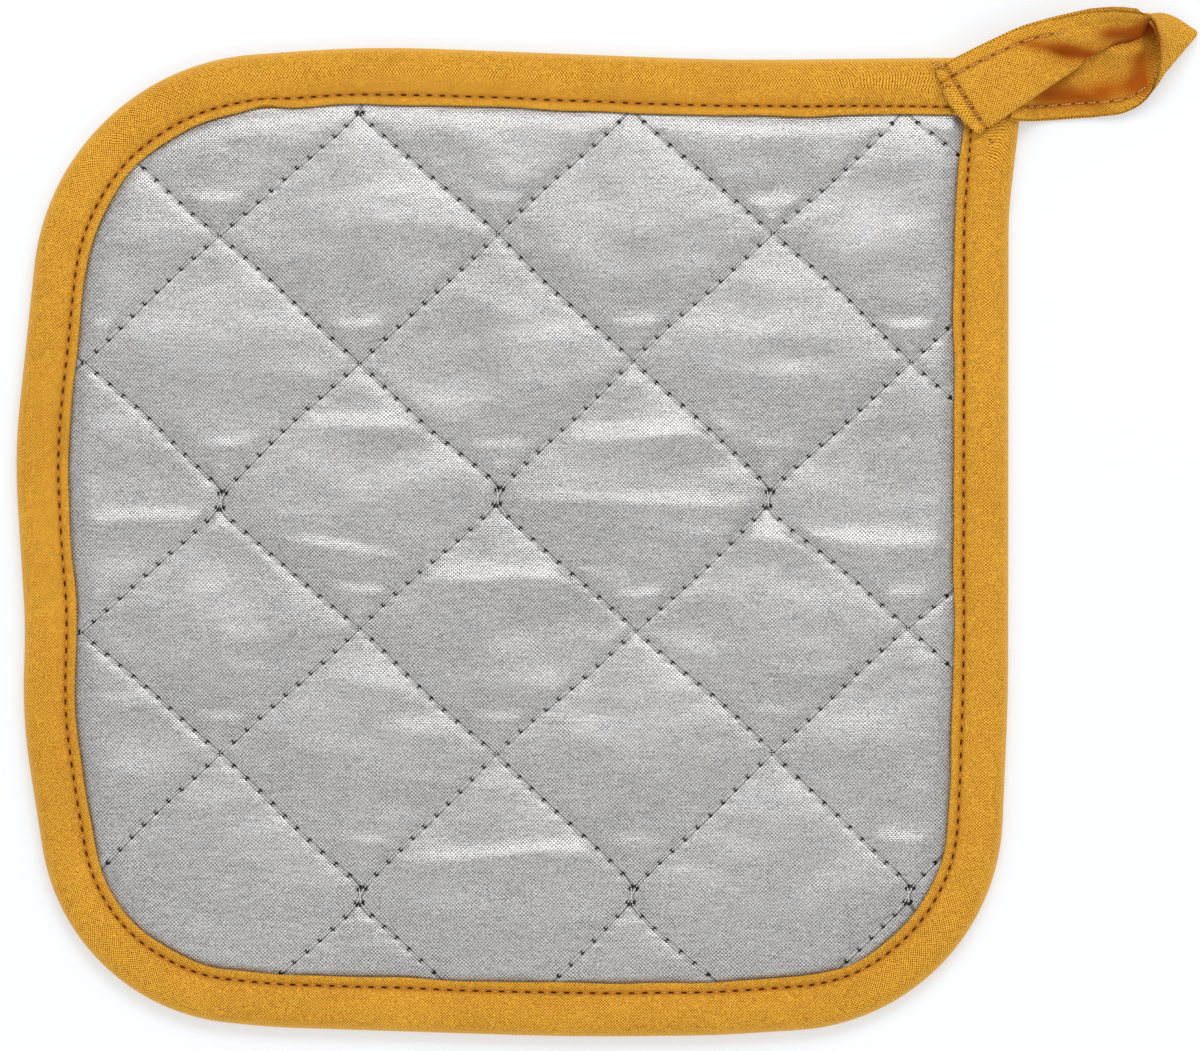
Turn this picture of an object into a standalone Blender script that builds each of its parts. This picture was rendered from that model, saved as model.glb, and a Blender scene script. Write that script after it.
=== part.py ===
"""Square quilted pot holder, lying flat with its silver face up.

The pad is a filled, quilted solid. A folded bias tape is sewn round its edge,
and the tail of that tape is turned back on the top right corner as a hanging
loop. Metres, +Z up; the origin is under the middle of the whole object.
"""

from collections import namedtuple
from math import acos, ceil, cos, radians, sin, tan

import bmesh
import bpy
import numpy as np
from mathutils import Vector

MM = 0.001

# ---------------------------------------------------------------- sizes
SEWING_GAP = 0.3 * MM           # clearance between two pieces that touch

TAPE_CLOTH = 1.0 * MM           # the binding's cloth, turned in once
TAPE_FOLDED = 1.5 * MM          # the loop's tape, pressed flat
PINCHED_EDGE = 2.6 * MM         # the pad where the binding squeezes it
BINDING_HEIGHT = PINCHED_EDGE + 2 * SEWING_GAP + 2 * TAPE_CLOTH
BINDING_ROUND = 1.5 * MM        # rounding along the binding's outer fold

PILLOW_TOP = 7.4 * MM           # crown of each diamond
CHANNEL_TOP = 4.5 * MM          # bottom of a sewn channel on the silver face
CHANNEL_UNDER = 1.0 * MM        # how far a channel is drawn up underneath
EDGE_RISE = 16 * MM             # width of the slope up from the binding
EDGE_FULLNESS = 0.35            # share of the crown left right at the binding

# Shares of a diamond's fullness, 0 on its sewn lines and 1 in its middle.
SHOULDER = 0.42                 # how far in from a line the pillow is full
ROUNDNESS = 0.6                 # below 1 makes the pillow plumper
FLAT_UNDER = 0.55               # above this the pillow lies flat underneath

DIAMOND_HALF_X = 28.4 * MM      # from one crossing to the next, across
DIAMOND_HALF_Y = 27.1 * MM      # and the same upwards
CROSSING_X = -3.5 * MM          # a crossing near the pad's middle
CROSSING_Y = 9.6 * MM
DIAMONDS_OUT = 5                # diamonds laid out each way from that crossing
CELLS_A_DIAMOND = 6

ARC_STEP = radians(9)
SIDE_OF_A_RIM = radians(60)     # edges sharper than this are rounded
WELD = 0.01 * MM
CUT_PAST = 2 * MM               # how far a cutter runs past what it cuts
LOOP_STEPS = 3                  # sections made between two rows of the loop
LOOP_STRIPS = 4                 # strips across the loop's tape

# The pad's outline, anticlockwise from above, measured from the pad's middle:
# a corner of the straight-sided shape, the radius that rounds it, and the width
# of the binding on the side that starts there.
Corner = namedtuple("Corner", "x y radius tape")
OUTLINE = (
    Corner(106.0, 100.0, 4, 11.5),      # top right, almost square
    Corner(45.0, 99.3, 400, 11.5),      # slack stretch of the top side
    Corner(-30.0, 102.2, 250, 11.5),
    Corner(-94.6, 98.2, 46, 10.2),      # top left
    Corner(-102.9, 18.0, 120, 10.2),    # left side at its widest
    Corner(-100.6, -18.0, 120, 10.2),   # left side at its hollow
    Corner(-101.2, -36.0, 120, 10.2),
    Corner(-92.0, -95.8, 43, 11.0),     # bottom left
    Corner(-50.0, -100.2, 150, 11.0),
    Corner(12.0, -102.2, 500, 11.0),
    Corner(42.0, -101.9, 200, 11.0),
    Corner(99.2, -98.2, 45, 11.3),      # bottom right
    Corner(102.1, -32.0, 300, 11.3),
    Corner(102.2, 68.0, 80, 11.3),      # from here the side flares outwards
)
SHARPEST_INSIDE = 2.5           # smallest radius inside the binding

# The loop's tape, section by section from its sewn end: where its stitched
# edge and its folded edge lie, from the pad's middle and up from the surface.
Section = namedtuple("Section", "sx sy sz fx fy fz")
LOOP = (
    Section(87.2, 97.0, 6.4, 95.9, 83.8, 6.4),      # cut end, on the corner
    Section(98.3, 103.6, 6.6, 105.6, 90.6, 6.5),    # leaves the pad
    Section(108.4, 107.4, 7.8, 112.4, 94.6, 5.9),
    Section(115.0, 109.0, 9.4, 117.6, 98.2, 3.7),   # stands up on its fold
    Section(121.0, 110.3, 11.0, 122.4, 102.7, 1.5),
    Section(127.6, 110.3, 12.0, 127.2, 107.2, 0.85),
    Section(132.2, 107.2, 12.0, 132.0, 109.2, 0.85),
    Section(133.6, 103.0, 11.0, 136.2, 108.3, 0.85),
    Section(133.8, 99.6, 9.3, 139.6, 106.9, 0.85),
    Section(133.0, 95.9, 7.0, 141.2, 105.2, 0.85),  # pressed crease, the tip
    Section(131.4, 92.7, 4.8, 138.9, 103.9, 0.85),
    Section(128.9, 90.2, 3.0, 132.6, 102.9, 0.85),
    Section(123.4, 88.4, 1.3, 125.4, 101.0, 0.85),  # lies on the surface
    Section(115.5, 87.7, 0.85, 117.0, 98.6, 0.85),
    Section(109.0, 87.2, 1.4, 110.0, 98.9, 1.4),
    Section(105.1, 87.2, 2.6, 106.6, 99.2, 2.6),    # meets the binding's side
)

# ---------------------------------------------------------------- scene helpers


def clear_scene():
    """Remove every object that the file opens with."""
    for old in list(bpy.data.objects):
        bpy.data.objects.remove(old, do_unlink=True)


def new_collection(name):
    """A collection of that name, linked to the scene."""
    group = bpy.data.collections.new(name)
    bpy.context.scene.collection.children.link(group)
    return group


def new_object(name, data, group):
    """An object in a collection."""
    piece = bpy.data.objects.new(name, data)
    group.objects.link(piece)
    return piece


def cloth_material(name, colour, roughness, metallic):
    """A plain Principled material for one cloth."""
    material = bpy.data.materials.new(name)
    material.use_nodes = True
    shader = material.node_tree.nodes["Principled BSDF"]
    shader.inputs["Base Color"].default_value = (*colour, 1.0)
    shader.inputs["Roughness"].default_value = roughness
    shader.inputs["Metallic"].default_value = metallic
    return material


# ---------------------------------------------------------------- outline


def inward_normals(corners):
    """The inward direction of the side that starts at each corner."""
    points = np.array([(c.x, c.y) for c in corners])
    along = np.roll(points, -1, axis=0) - points
    along /= np.linalg.norm(along, axis=1)[:, None]
    return np.stack([-along[:, 1], along[:, 0]], axis=1)


def inset_corners(corners, insets):
    """The same corners with each side moved inwards by its own inset (mm)."""
    normals = inward_normals(corners)
    moved = []
    for i, corner in enumerate(corners):
        before, after = normals[i - 1], normals[i]
        shift = np.linalg.solve(np.array([before, after]), (insets[i - 1], insets[i]))
        convex = before[0] * after[1] - before[1] * after[0] > 0
        change = -insets[i] if convex else insets[i]
        radius = max(corner.radius + change, SHARPEST_INSIDE)
        moved.append(corner._replace(x=corner.x + shift[0], y=corner.y + shift[1], radius=radius))
    return moved


def rounded_outline(corners):
    """Points along the outline, with an arc at every corner."""
    spots = [Vector((c.x, c.y)) for c in corners]
    points = []
    for i, corner in enumerate(corners):
        here = spots[i]
        back = (spots[i - 1] - here).normalized()
        ahead = (spots[(i + 1) % len(spots)] - here).normalized()
        half_angle = acos(max(-1.0, min(1.0, back.dot(ahead)))) / 2
        bisector = (back + ahead).normalized()
        centre = here + bisector * (corner.radius / sin(half_angle))
        start = here + back * (corner.radius / tan(half_angle)) - centre
        turn = radians(180) - 2 * half_angle
        steps = max(1, ceil(turn / ARC_STEP))
        sense = 1 if back.cross(ahead) < 0 else -1
        for step in range(steps + 1):
            angle = sense * turn * step / steps
            spoke = Vector((start.x * cos(angle) - start.y * sin(angle),
                            start.x * sin(angle) + start.y * cos(angle)))
            points.append((centre + spoke) * MM)
    return points


def outline_prism(name, group, inset, low, high):
    """The outline moved inwards (a length, or a share of the tape's width plus
    a length) and raised from low to high, as a mesh."""
    share, extra = inset
    insets = [share * c.tape + extra / MM for c in OUTLINE]
    points = rounded_outline(inset_corners(OUTLINE, insets))
    curve = bpy.data.curves.new(name, "CURVE")
    curve.dimensions = "2D"
    curve.fill_mode = "BOTH"
    curve.extrude = (high - low) / 2
    spline = curve.splines.new("POLY")
    spline.points.add(len(points) - 1)
    for spot, point in zip(spline.points, points):
        spot.co = (point.x, point.y, 0, 1)
    spline.use_cyclic_u = True
    flat = new_object(name + "_curve", curve, group)
    flat.location.z = (high + low) / 2
    bpy.context.view_layer.update()
    graph = bpy.context.evaluated_depsgraph_get()
    mesh = bpy.data.meshes.new_from_object(flat.evaluated_get(graph))
    shape = bmesh.new()
    shape.from_mesh(mesh)
    bmesh.ops.remove_doubles(shape, verts=shape.verts, dist=WELD)
    bmesh.ops.recalc_face_normals(shape, faces=shape.faces)
    shape.to_mesh(mesh)
    shape.free()
    prism = new_object(name, mesh, group)
    prism.matrix_world = flat.matrix_world.copy()
    bpy.data.objects.remove(flat, do_unlink=True)
    return prism


def boolean(piece, tool, operation):
    """A live exact Boolean with a hidden tool."""
    modifier = piece.modifiers.new(operation.lower() + "_" + tool.name, "BOOLEAN")
    modifier.operation = operation
    modifier.solver = "EXACT"
    modifier.object = tool
    tool.hide_render = True
    tool.display_type = "WIRE"


# ---------------------------------------------------------------- pad


def smooth(share):
    """A soft step from 0 to 1."""
    share = np.clip(share, 0.0, 1.0)
    return share * share * (3 - 2 * share)


def edge_distance(x, y):
    """How far inside the binding's inner edge a place lies, in metres."""
    reach = None
    for corner, normal in zip(OUTLINE, inward_normals(OUTLINE)):
        inside = (x - corner.x * MM) * normal[0] + (y - corner.y * MM) * normal[1]
        inside -= corner.tape * MM
        reach = inside if reach is None else min(reach, inside)
    return reach


def pillow(across, up):
    """Fullness of a diamond: 0 on its sewn lines, 1 in its middle."""
    full = 1.0
    for place in (across, up):
        to_line = abs(place - round(place))
        full *= smooth(to_line / SHOULDER)
    return float(full) ** ROUNDNESS


def quilted_slab(group):
    """A slab whose grid follows the sewn lines, with its channels pressed in."""
    cells = 2 * DIAMONDS_OUT * CELLS_A_DIAMOND
    slab = bmesh.new()
    bmesh.ops.create_grid(slab, x_segments=cells, y_segments=cells, size=DIAMONDS_OUT)
    lower = list(slab.verts)
    raised = bmesh.ops.extrude_face_region(slab, geom=list(slab.faces))
    upper = [item for item in raised["geom"] if isinstance(item, bmesh.types.BMVert)]
    for verts, is_top in ((lower, False), (upper, True)):
        for vert in verts:
            across, up = vert.co.x, vert.co.y
            x = CROSSING_X + (across + up) * DIAMOND_HALF_X
            y = CROSSING_Y + (up - across) * DIAMOND_HALF_Y
            full = pillow(across, up)
            if is_top:
                slope = float(smooth(edge_distance(x, y) / EDGE_RISE))
                crown = EDGE_FULLNESS + (1 - EDGE_FULLNESS) * slope
                z = CHANNEL_TOP + (PILLOW_TOP - CHANNEL_TOP) * full * crown
            else:
                z = CHANNEL_UNDER * (1 - float(smooth(full / FLAT_UNDER)))
            vert.co = (x, y, z)
    bmesh.ops.recalc_face_normals(slab, faces=slab.faces)
    mesh = bpy.data.meshes.new("quilted_pad")
    slab.to_mesh(mesh)
    slab.free()
    return new_object("quilted_pad", mesh, group)


def make_pad(parts, tools):
    """The quilted slab, trimmed to the outline and pinched under the binding."""
    pinch_low = TAPE_CLOTH + SEWING_GAP
    flange = outline_prism("pinched_flange", tools, (0, pinch_low), pinch_low, pinch_low + PINCHED_EDGE)
    core = outline_prism("pad_core", tools, (1, SEWING_GAP), -CUT_PAST, PILLOW_TOP + CUT_PAST)
    boolean(core, flange, "UNION")
    pad = quilted_slab(parts)
    boolean(pad, core, "INTERSECT")
    pad.data.materials.append(cloth_material("silver_cloth", (0.44, 0.44, 0.45), 0.45, 0.55))
    return pad


# ---------------------------------------------------------------- binding


def make_binding(parts, tools):
    """The folded tape round the edge: a block with its middle and slot cut."""
    binding = outline_prism("edge_binding", parts, (0, 0), 0, BINDING_HEIGHT)
    rounding = binding.modifiers.new("outer_fold", "BEVEL")
    rounding.width = BINDING_ROUND
    rounding.segments = 2
    rounding.limit_method = "ANGLE"
    rounding.angle_limit = SIDE_OF_A_RIM
    middle = outline_prism("binding_middle", tools, (1, 0), -CUT_PAST, BINDING_HEIGHT + CUT_PAST)
    slot = outline_prism("binding_slot", tools, (0, TAPE_CLOTH), TAPE_CLOTH, BINDING_HEIGHT - TAPE_CLOTH)
    boolean(binding, middle, "DIFFERENCE")
    boolean(binding, slot, "DIFFERENCE")
    binding.data.materials.append(cloth_material("mustard_tape", (0.73, 0.35, 0.03), 0.8, 0.0))
    return binding


# ---------------------------------------------------------------- loop


def through_rows(rows, steps):
    """A smooth run of sections through all the rows (Catmull-Rom)."""
    padded = np.vstack([2 * rows[0] - rows[1], rows, 2 * rows[-1] - rows[-2]])
    run = []
    for i in range(1, len(padded) - 2):
        a, b, c, d = padded[i - 1:i + 3]
        for step in range(steps):
            t = step / steps
            run.append(0.5 * (2 * b + (c - a) * t + (2 * a - 5 * b + 4 * c - d) * t ** 2
                              + (3 * b - a - 3 * c + d) * t ** 3))
    run.append(rows[-1])
    return np.array(run)


def make_loop(parts):
    """A strip lofted through the tape's sections, thickened both ways."""
    run = through_rows(np.array(LOOP) * MM, LOOP_STEPS)
    strip = bmesh.new()
    lines = []
    for section in run:
        stitched, folded = Vector(section[:3]), Vector(section[3:])
        line = [strip.verts.new(stitched.lerp(folded, i / LOOP_STRIPS)) for i in range(LOOP_STRIPS + 1)]
        lines.append(line)
    for before, after in zip(lines, lines[1:]):
        for i in range(LOOP_STRIPS):
            strip.faces.new((before[i], before[i + 1], after[i + 1], after[i]))
    mesh = bpy.data.meshes.new("hanging_loop")
    strip.to_mesh(mesh)
    strip.free()
    loop = new_object("hanging_loop", mesh, parts)
    thicken = loop.modifiers.new("tape_thickness", "SOLIDIFY")
    thicken.thickness = TAPE_FOLDED
    thicken.offset = 0
    thicken.use_even_offset = False
    loop.data.materials.append(cloth_material("mustard_loop_tape", (0.73, 0.35, 0.03), 0.8, 0.0))
    return loop


# ---------------------------------------------------------------- whole


def middle_of(pieces):
    """The middle of all the pieces' box, and how low they reach."""
    bpy.context.view_layer.update()
    graph = bpy.context.evaluated_depsgraph_get()
    spots = []
    for piece in pieces:
        solid = piece.evaluated_get(graph)
        spots += [piece.matrix_world @ vert.co for vert in solid.to_mesh().vertices]
        solid.to_mesh_clear()
    spots = np.array(spots)
    return (spots.min(axis=0) + spots.max(axis=0)) / 2, spots.min(axis=0)[2]


def main():
    """Make the three pieces and set the origin under the object's middle."""
    clear_scene()
    parts = new_collection("pot_holder")
    tools = new_collection("cutters")
    pieces = [make_pad(parts, tools), make_binding(parts, tools), make_loop(parts)]
    middle, lowest = middle_of(pieces)
    origin = new_object("pad_middle", None, parts)
    for item in list(parts.objects) + list(tools.objects):
        if item is not origin:
            item.parent = origin
    origin.location = (-middle[0], -middle[1], -lowest)
    bpy.context.view_layer.update()


main()
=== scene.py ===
"""Looks of the quilted pot holder: silver face, mustard binding and hanging loop."""

from collections import namedtuple
from math import acos, ceil, cos, pi, radians, sin, tan
import bpy
import numpy as np
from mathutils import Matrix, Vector
from numpy.linalg import norm


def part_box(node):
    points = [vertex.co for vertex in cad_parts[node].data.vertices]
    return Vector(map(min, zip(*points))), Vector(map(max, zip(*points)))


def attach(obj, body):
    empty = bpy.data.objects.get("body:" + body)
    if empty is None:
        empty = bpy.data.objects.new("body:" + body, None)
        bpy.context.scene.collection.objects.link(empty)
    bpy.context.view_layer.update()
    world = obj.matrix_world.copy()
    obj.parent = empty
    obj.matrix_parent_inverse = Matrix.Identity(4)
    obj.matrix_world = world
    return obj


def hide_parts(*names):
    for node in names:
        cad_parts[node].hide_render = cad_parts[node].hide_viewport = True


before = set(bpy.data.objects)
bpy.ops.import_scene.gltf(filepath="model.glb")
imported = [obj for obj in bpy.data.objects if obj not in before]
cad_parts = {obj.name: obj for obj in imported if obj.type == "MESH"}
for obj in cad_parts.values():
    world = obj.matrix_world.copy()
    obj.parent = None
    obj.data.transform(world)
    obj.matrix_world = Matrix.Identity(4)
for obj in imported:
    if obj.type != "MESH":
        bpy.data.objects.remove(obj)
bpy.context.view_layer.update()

MM = 0.001
SCENE = bpy.context.scene

# --- outline (mm)
# The outline's corners, anticlockwise about the pad's middle: where the straight
# sides would meet, the radius, and the binding's width on the next side.
Corner = namedtuple("Corner", "x y radius tape")
OUTLINE = [Corner(*row) for row in (
    (106, 100, 4, 11.7),       # top right, under the loop
    (45, 99.3, 400, 11.7),     # slack stretch of the top side
    (-30, 102.2, 250, 11.7),
    (-94.5, 97.5, 49, 10.7),   # top left
    (-102.9, 18, 120, 10.7),   # left side at its widest
    (-100.6, -18, 120, 10.7),  # left side at its hollow
    (-101.4, -36, 110, 10.7),
    (-92, -95.8, 43, 11),      # bottom left
    (-50, -100.2, 150, 11),
    (12, -102.2, 500, 11),
    (42, -101.9, 200, 11),
    (99.2, -98.2, 45, 11.3),   # bottom right
    (102.1, -32, 300, 11.3),
    (102.2, 68, 80, 11.3),     # from here the side flares outwards
)]
SHARPEST_INSIDE = 2.5
ARC_STEP = radians(2)

# --- quilting (mm)
# Two sets of slanting seams. "Across" and "up" count half diamonds from a middle
# crossing. In the turned rows the seams only touch, joined by a short upright
# stitch: turn is half its height.
CROSSING_X = -3.5
HALF_DIAMOND = 28.4
Row = namedtuple("Row", "number y turn")
ROWS = [Row(number, y, turn) for number, (y, turn) in enumerate((
    (-127, 0), (-101, 0), (-73.1, 1.9), (-43.8, 0), (-18.2, 0),
    (8.9, 2), (37, 0), (63.4, 0), (90.4, 1.9), (117, 0)), -5)]
TURN_SLANT = 0.6
SEAM_SPACING = 39.2
STITCHES_A_SIDE = 11  # between two crossings
LATTICE_REACH = 4     # diamonds each way from the middle
CLOTH_STEPS = 26      # of the simulated cloth, between two crossings

PINCH_LOW, PINCH_HIGH = 1.25, 3.85  # the pad inside the binding
CHANNEL_HEIGHT = 4.9
CROWN_HEIGHT = 5.55
CHANNEL_REACH = 2.8  # how fast the face rises from a seam
EDGE_REACH = 2.2     # and from the binding
UNDER_SEAM = 1.0     # how far the back is drawn up at a seam
BACK_REACH = 1.5     # how fast the back falls from the binding
PAD_EDGE = 1.6       # the pad ends this far inside the binding's edge
DIMPLE_DEPTH, DIMPLE_REACH = 0.35, 0.9

# The simulated face cloth: its size meanwhile, the slack sewn in each way, how
# firmly the filling holds it, and how far it may move.
SIMULATED_SIZE = 0.02
SLACK = (-0.01, 0.08, 0)
CLOTH_HOLD = 0.01
CLOTH_SETTINGS = {"vertex_group_mass": "sewn", "pin_stiffness": 1.0, "quality": 6, "mass": 0.02,
                  "tension_stiffness": 20, "compression_stiffness": 20, "shear_stiffness": 8,
                  "bending_stiffness": 40}
CLOTH_FRAMES = 24
MOST_SHIFT = (-0.8, 1.2)
LEVEL_PASSES = 3

# Ridges in the silver cloth: middle, length, slope in degrees, half width, height.
RIDGES = (
    (26.2, 21.5, 33, 2, 1.9, 0.85),
    (-36.1, -2, 27, -9, 1.8, 0.80),
    (-1.6, -7.9, 36, 2, 1.8, 0.85),
    (64.3, 0.1, 52, -2, 1.8, 0.70),
    (-73.4, 4.4, 30, 2, 1.8, 0.70),
    (-0.6, -64.9, 40, 5, 1.8, 0.62),
    (-31.5, 23.8, 26, 0, 1.6, 0.58),
    (24.1, 7.7, 55, -1, 1.6, 0.55),
)
FAINT_RIDGES = 150

# --- binding (mm)
TAPE_STITCH = 2.7
GROOVE = 2.05  # the binding's seam, from its inner edge
# The binding's section, round its outside and back along its inside: how far each
# point is from the tape's inner or outer edge, and how high.
TAPE_SECTION = (
    # the face, with the seam's groove
    ("inner", ((0, 4.4), (0.1, 4.85), (0.5, 5.02), (1, 4.82), (1.6, 4.5), (2.05, 4.26),
               (2.45, 4.46), (2.95, 4.72), (3.7, 5.1), (4.8, 5.36), (6, 5.48))),
    # round the outer fold
    ("outer", ((3.6, 5.45), (2, 5.2), (0.9, 4.6), (0.25, 3.75), (0, 2.8),
               (0.25, 1.7), (0.9, 0.8), (2.2, 0.2), (4, 0))),
    # the back, with its groove, and the turned edge
    ("inner", ((4.5, 0), (2.8, 0.15), (1.9, 0.55), (1.2, 0.2), (0.3, 0.05),
               (0, 0.5), (0.3, 1.1))),
    # the inside, round the pad's edge
    ("outer", ((2.5, 1.15), (1.2, 1.8), (0.9, 2.8), (1.2, 3.6), (2.5, 3.95))),
    ("inner", ((2.6, 3.93), (1.9, 3.92), (0.3, 3.95))),
)
TAPE_POINTS = [(edge == "outer", *point) for edge, points in TAPE_SECTION for point in points]
FACE_POINTS = 14     # how many of them lie on the face
GROOVE_POINT, FOLD_POINT, BACK_GROOVE_POINT = 5, 15, 22
RIBS_A_STITCH = 5    # sections of the binding for each stitch
PLAIN_TAPE = 11.0    # a tape width to unroll the section on
NIP = (-51.1, 89.1)  # where the binding's inner edge is pinched in
NIP_DEPTH, NIP_LENGTH = 0.9, 3.5
CROWN, CROWN_REACH = 6.0, 3.5  # where the binding's face is slack, from its inner edge
SLOPE, PULL_REACH = 3.0, 0.8   # where each stitch pulls it down, besides the seam
SEAM_PULL, SLOPE_PULL = 0.14, 0.10
DRIFT_REACH = 2.0              # how much of its inner edge wanders

# --- loop (mm)
# The loop's tape from its sewn end: points of its stitched edge and its folded
# edge, and how far its middle stands off their line.
LOOP = (
    (87.2, 97, 6.4, 95.9, 83.8, 6.4, 0.2),       # cut end, on the corner
    (92.3, 99.8, 6.8, 100.4, 86.8, 7.9, 0.3),
    (98, 102.6, 7.8, 105.8, 90.4, 8.5, 0.4),     # leaves the pad
    (104.2, 105.4, 8.4, 109.9, 93.2, 7.4, 0.2),
    (109.6, 107, 8.9, 113.3, 95.5, 6.4, 0),
    (115, 108.2, 9.8, 117.5, 98.2, 5.5, 0),      # stands up on its fold
    (118.6, 108.9, 10.6, 120, 100.2, 5.4, 0.2),
    (121, 109.1, 11.2, 121.7, 101.5, 4.7, 0.3),
    (123, 109.2, 11.6, 123.4, 102.2, 3, 0.4),
    (124.8, 109.2, 11.8, 125, 102.3, 1.3, 0.5),
    (126.8, 109, 12, 126.8, 102.6, 0.9, 0.6),
    (129, 108.7, 12, 129.2, 103.4, 0.9, 0.5),
    (130.8, 107.9, 12, 129.9, 108.1, 0.9, 0.2),
    (131.9, 106.5, 11.9, 131.5, 108.5, 0.9, 0.1),
    (132.5, 104.9, 11.5, 133.5, 108.8, 1, 0),
    (133.1, 103, 11, 136.2, 108.2, 1.6, 0),
    (133.4, 99.8, 9.5, 139.1, 106.6, 2.2, 0.1),
    (133, 96.6, 7.4, 141, 105.3, 1.6, 0),        # pressed crease, the tip
    (132.2, 94, 5.6, 138.2, 104.8, 0.85, 0),
    (130.9, 92, 4.2, 134.2, 106.9, 1.6, -0.3),
    (128.9, 90.2, 3.1, 131.4, 107.3, 2.8, -0.3),
    (125.8, 88.8, 2.2, 128.2, 103.6, 4.1, 0.2),  # its fold is tucked under
    (123.3, 88.4, 1.8, 125.2, 102.7, 3.7, 0.2),
    (121.2, 88.2, 1.4, 122.8, 101.9, 2.6, 0.2),
    (119.4, 88, 1.2, 120.9, 101.3, 2, 0.2),
    (117.2, 87.9, 1.1, 118.4, 101.1, 1.4, 0.2),
    (114.4, 87.7, 1, 115.6, 100.8, 1.1, 0.2),    # lies on the surface
    (110.6, 87.4, 1, 111.8, 100.5, 1, 0.1),
    (107.3, 87.2, 2.1, 108.4, 99.9, 2.1, 0),
    (106, 87.1, 4, 107, 99.3, 4, 0),             # climbs the binding's side
    (104.9, 87.1, 5.4, 106, 98.6, 5.4, 0),
    (103.4, 87.2, 6.15, 104.6, 97.8, 6.15, 0),
    (102.4, 87.3, 6.4, 103.8, 97.4, 6.4, 0),     # ends under the upper leg
)
TIP = 17         # which section is pressed flat at the tip
STEPS = 8        # rings between two sections
LOOP_SEAM = 2.6  # the loop's top stitching, from its open edge
LOOP_STITCH = 2.9
END_STITCH = 2.6
TUCKED = (26, 60)  # between these the folds hide the top stitching
END_SEAM = 2.2     # the seam across the sewn end, from the cut
CUT_BOW = 1.4      # how far the cut edge bows out
LAYER_STEP = 0.5   # how far the lower layer stands out past the upper
# Columns of points by the tape's open edge, and by its fold.
EDGE_COLUMNS = (0, 0.15, 0.6, 1.3, 2.1, LOOP_SEAM, 3.1, 4, 5.2, 6.4)
SEAM_COLUMN = 5
FOLD_COLUMNS = (0.6, 0.2, 0)
JOINED_COLUMNS = 4      # by the fold, where the two layers are one
INSIDE_MAPS = (40, 60)  # where the layers' insides lie on the tape's UV map
# Loose ends of thread by the sewn end.
LOOSE_ENDS = (
    ((86, 99, 7.4), (87.7, 97.6, 7.5)),
    ((87, 98.9, 7.3), (88.9, 97.3, 7.5)),
    ((87.9, 93.5, 7.3), (90, 94.1, 7.5)),
    ((98.2, 82.9, 5.5), (98.9, 82.1, 5.5)),
)
# Creases in the loop's upper leg, then in its lower: where each starts and ends
# from above, how wide it is and how high it stands (a trough is below nought).
CREASES = (
    ((103, 101.8, 118, 99.4, 1.3, -1.2),
     (109, 100.6, 122.5, 98.4, 1.5, -1.9),
     (106, 105.2, 123, 103.6, 1.6, 0.9)),
    ((111, 96.6, 126, 89.6, 2, 2.8),
     (119, 101.2, 134, 102, 1.8, 1.9),
     (119, 96.8, 131.5, 96, 2.2, -1),
     (108, 93.5, 116, 90.6, 2, -0.6)),
)
# Painted shade for the loop's hollows, where shade falls deepest: the same, and how dark the shade
# is painted.
PAINTED_HOLLOW_SHADE = (
    ((101, 103.3, 119, 100.4, 1.1, 0.9),
     (110, 101.7, 125, 99.2, 1.5, 1),
     (118, 104.3, 134, 105, 1.5, 1),
     (128, 108, 133.5, 99, 2.2, 1)),
    ((121, 105.2, 136, 105.8, 1.5, 1),
     (104, 92.4, 125, 91.4, 2.4, 1),
     (118, 92, 133, 95, 2.2, 0.8),
     (130, 103, 128.8, 91, 2.4, 0.9)),
)

# --- thread (mm): how thick, how high a stitch arches, and the gap between two
QUILTING_THREAD = (0.28, 0.52, 0.1)
BINDING_THREAD = (0.30, 0.42, 1.25)
LOOP_THREAD = (0.34, 0.24, 0.8)
END_THREAD = (0.5, 0.28, 0)
THREAD_SINK = 0.05  # how far the loop's threads sink into its face

# --- shader maths


class Value:
    """A socket of a material, with Python's operators on it."""

    def __init__(self, cloth, socket):
        self.cloth = cloth
        self.socket = socket

    def math(self, operation, *others, clamp=False):
        """A Math node on this value."""
        settings = {"operation": operation, "use_clamp": clamp}
        return self.cloth.node("ShaderNodeMath", settings, self, *others)

    __add__ = __radd__ = lambda self, other: self.math("ADD", other)
    __mul__ = __rmul__ = lambda self, other: self.math("MULTIPLY", other)
    __sub__ = lambda self, other: self.math("SUBTRACT", other)
    __rsub__ = lambda self, other: self.cloth.node(
        "ShaderNodeMath", {"operation": "SUBTRACT"}, other, self)
    __truediv__ = lambda self, other: self.math("DIVIDE", other)
    __pow__ = lambda self, other: self.math("POWER", other)
    __abs__ = lambda self: self.math("ABSOLUTE")

    def sine(self):
        """Its sine."""
        return self.math("SINE")

    def clamped(self):
        """Kept between 0 and 1."""
        return self.math("ADD", 0.0, clamp=True)

    def off_whole(self):
        """How far it is from the nearest whole number."""
        return abs(self - self.math("ROUND"))

    def rise(self, low, high):
        """0 below low and 1 above high, with a soft rise between."""
        settings = {"interpolation_type": "SMOOTHSTEP", "clamp": True}
        return self.cloth.node("ShaderNodeMapRange", settings, self, low, high, 0.0, 1.0)


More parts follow.
